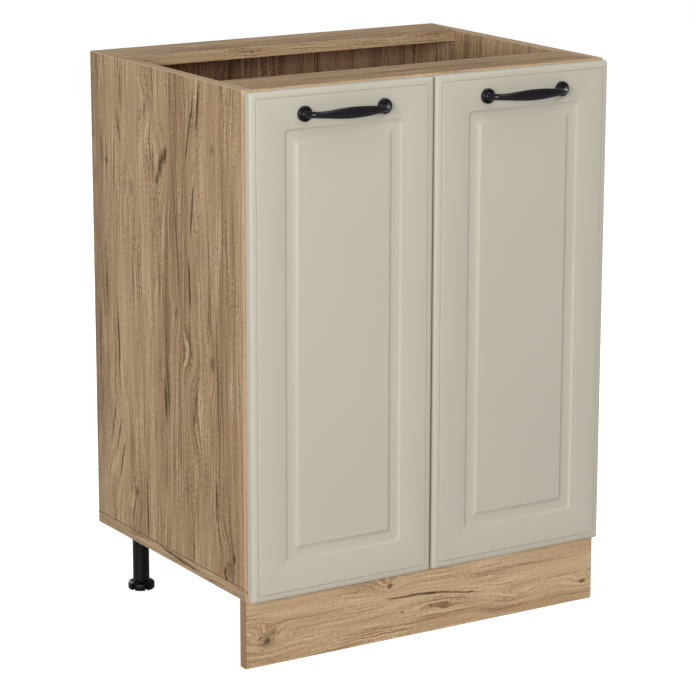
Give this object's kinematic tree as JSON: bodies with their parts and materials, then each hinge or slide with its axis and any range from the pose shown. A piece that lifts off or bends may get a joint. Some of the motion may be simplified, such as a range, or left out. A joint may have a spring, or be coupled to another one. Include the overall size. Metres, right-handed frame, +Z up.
{
  "type": "kitchen base cabinet",
  "caption": "Floor-standing kitchen base cabinet with hinged panelled doors, bow handles, one shelf, an open top with rails, a plinth board and screw feet.",
  "frame": {"origin": "on the floor, at the middle of the whole object's width and depth, handles included", "axes": "+Z up, +X to the cabinet's right seen from the front, +Y towards the wall, so the doors face -Y"},
  "size_m": [0.6, 0.497, 0.82],
  "materials": {
    "oak_decor_board": "particleboard with a printed rustic oak decor, fine matte pores",
    "edge_banding": "thin light oak edge band, matte",
    "hardboard": "thin hardboard with an oak print inside",
    "beech": "plain beech dowels",
    "clear_buffer": "soft clear buffer pads",
    "door_film": "routed MDF under a satin cream-grey film",
    "black_metal": "satin black cast metal",
    "black_plastic": "black moulded plastic",
    "brown_plastic": "brown moulded plastic",
    "plated_steel": "nickel or zinc plated steel"
  },
  "bodies": {
    "carcass": {"bottom_panel": "oak_decor_board", "front_rail": "oak_decor_board", "rear_rail": "oak_decor_board", "back_panel": "hardboard", "shelf": "oak_decor_board", "shelf_pins": "plated_steel", "plinth_board": "oak_decor_board", "plinth_brackets": "brown_plastic", "plinth_bracket_screws": "plated_steel", "edge_band_bottom": "edge_banding", "edge_band_rail": "edge_banding", "edge_band_shelf": "edge_banding", "carcass_screws": "plated_steel", "rail_dowels": "beech", "back_nails": "plated_steel", "leg_socket_screws": "plated_steel", "hinge_arm_pins": "plated_steel", "hinge_plate_screws": "plated_steel", "hinge_clamp_screws": "plated_steel", "side_panel_left": "oak_decor_board", "edge_band_left": "edge_banding", "leg_socket_left": "black_plastic", "leg_tube_left": "black_plastic", "hinge_arm_lower_left": "plated_steel", "hinge_plate_lower_left": "plated_steel", "hinge_arm_upper_left": "plated_steel", "hinge_plate_upper_left": "plated_steel", "side_panel_right": "oak_decor_board", "edge_band_right": "edge_banding", "leg_socket_right": "black_plastic", "leg_tube_right": "black_plastic", "hinge_arm_lower_right": "plated_steel", "hinge_plate_lower_right": "plated_steel", "hinge_arm_upper_right": "plated_steel", "hinge_plate_upper_right": "plated_steel"},
    "foot_left": {"leg_foot_left": "black_plastic"},
    "hinge_links_left": {"hinge_link_lower_left": "plated_steel", "hinge_link_upper_left": "plated_steel"},
    "door_panel_left": {"door_left": "door_film", "handle_left": "black_metal", "handle_screws_left": "plated_steel", "hinge_cup_pins_left": "plated_steel", "hinge_cup_screws_left": "plated_steel", "door_buffers_left": "clear_buffer", "hinge_cup_lower_left": "plated_steel", "hinge_cup_upper_left": "plated_steel"},
    "foot_right": {"leg_foot_right": "black_plastic"},
    "hinge_links_right": {"hinge_link_lower_right": "plated_steel", "hinge_link_upper_right": "plated_steel"},
    "door_panel_right": {"door_right": "door_film", "handle_right": "black_metal", "handle_screws_right": "plated_steel", "hinge_cup_pins_right": "plated_steel", "hinge_cup_screws_right": "plated_steel", "door_buffers_right": "clear_buffer", "hinge_cup_lower_right": "plated_steel", "hinge_cup_upper_right": "plated_steel"}
  },
  "joints": [
    {"name": "hinge_link_swing_left", "type": "hinge", "parent": "carcass", "child": "hinge_links_left", "pos_m": [-0.264, -0.2005, 0.459], "axis": [0, 0, 1], "range_deg": [0, 38.6]},
    {"name": "door_swing_left", "type": "hinge", "parent": "hinge_links_left", "child": "door_panel_left", "pos_m": [-0.286, -0.207, 0.459], "axis": [0, 0, -1], "range_deg": [0, 133]},
    {"name": "foot_screw_left", "type": "slide", "parent": "carcass", "child": "foot_left", "axis": [0, 0, -1], "range_m": [-0.0015, 0.02]},
    {"name": "hinge_link_swing_right", "type": "hinge", "parent": "carcass", "child": "hinge_links_right", "pos_m": [0.264, -0.2005, 0.459], "axis": [0, 0, -1], "range_deg": [0, 38.6]},
    {"name": "door_swing_right", "type": "hinge", "parent": "hinge_links_right", "child": "door_panel_right", "pos_m": [0.286, -0.207, 0.459], "axis": [0, 0, 1], "range_deg": [0, 133]},
    {"name": "foot_screw_right", "type": "slide", "parent": "carcass", "child": "foot_right", "axis": [0, 0, -1], "range_m": [-0.0015, 0.02]}
  ],
  "couplings": [
    {"joint": "hinge_link_swing_left", "follows": "door_swing_left", "ratio": 0.29},
    {"joint": "hinge_link_swing_right", "follows": "door_swing_right", "ratio": 0.29}
  ]
}
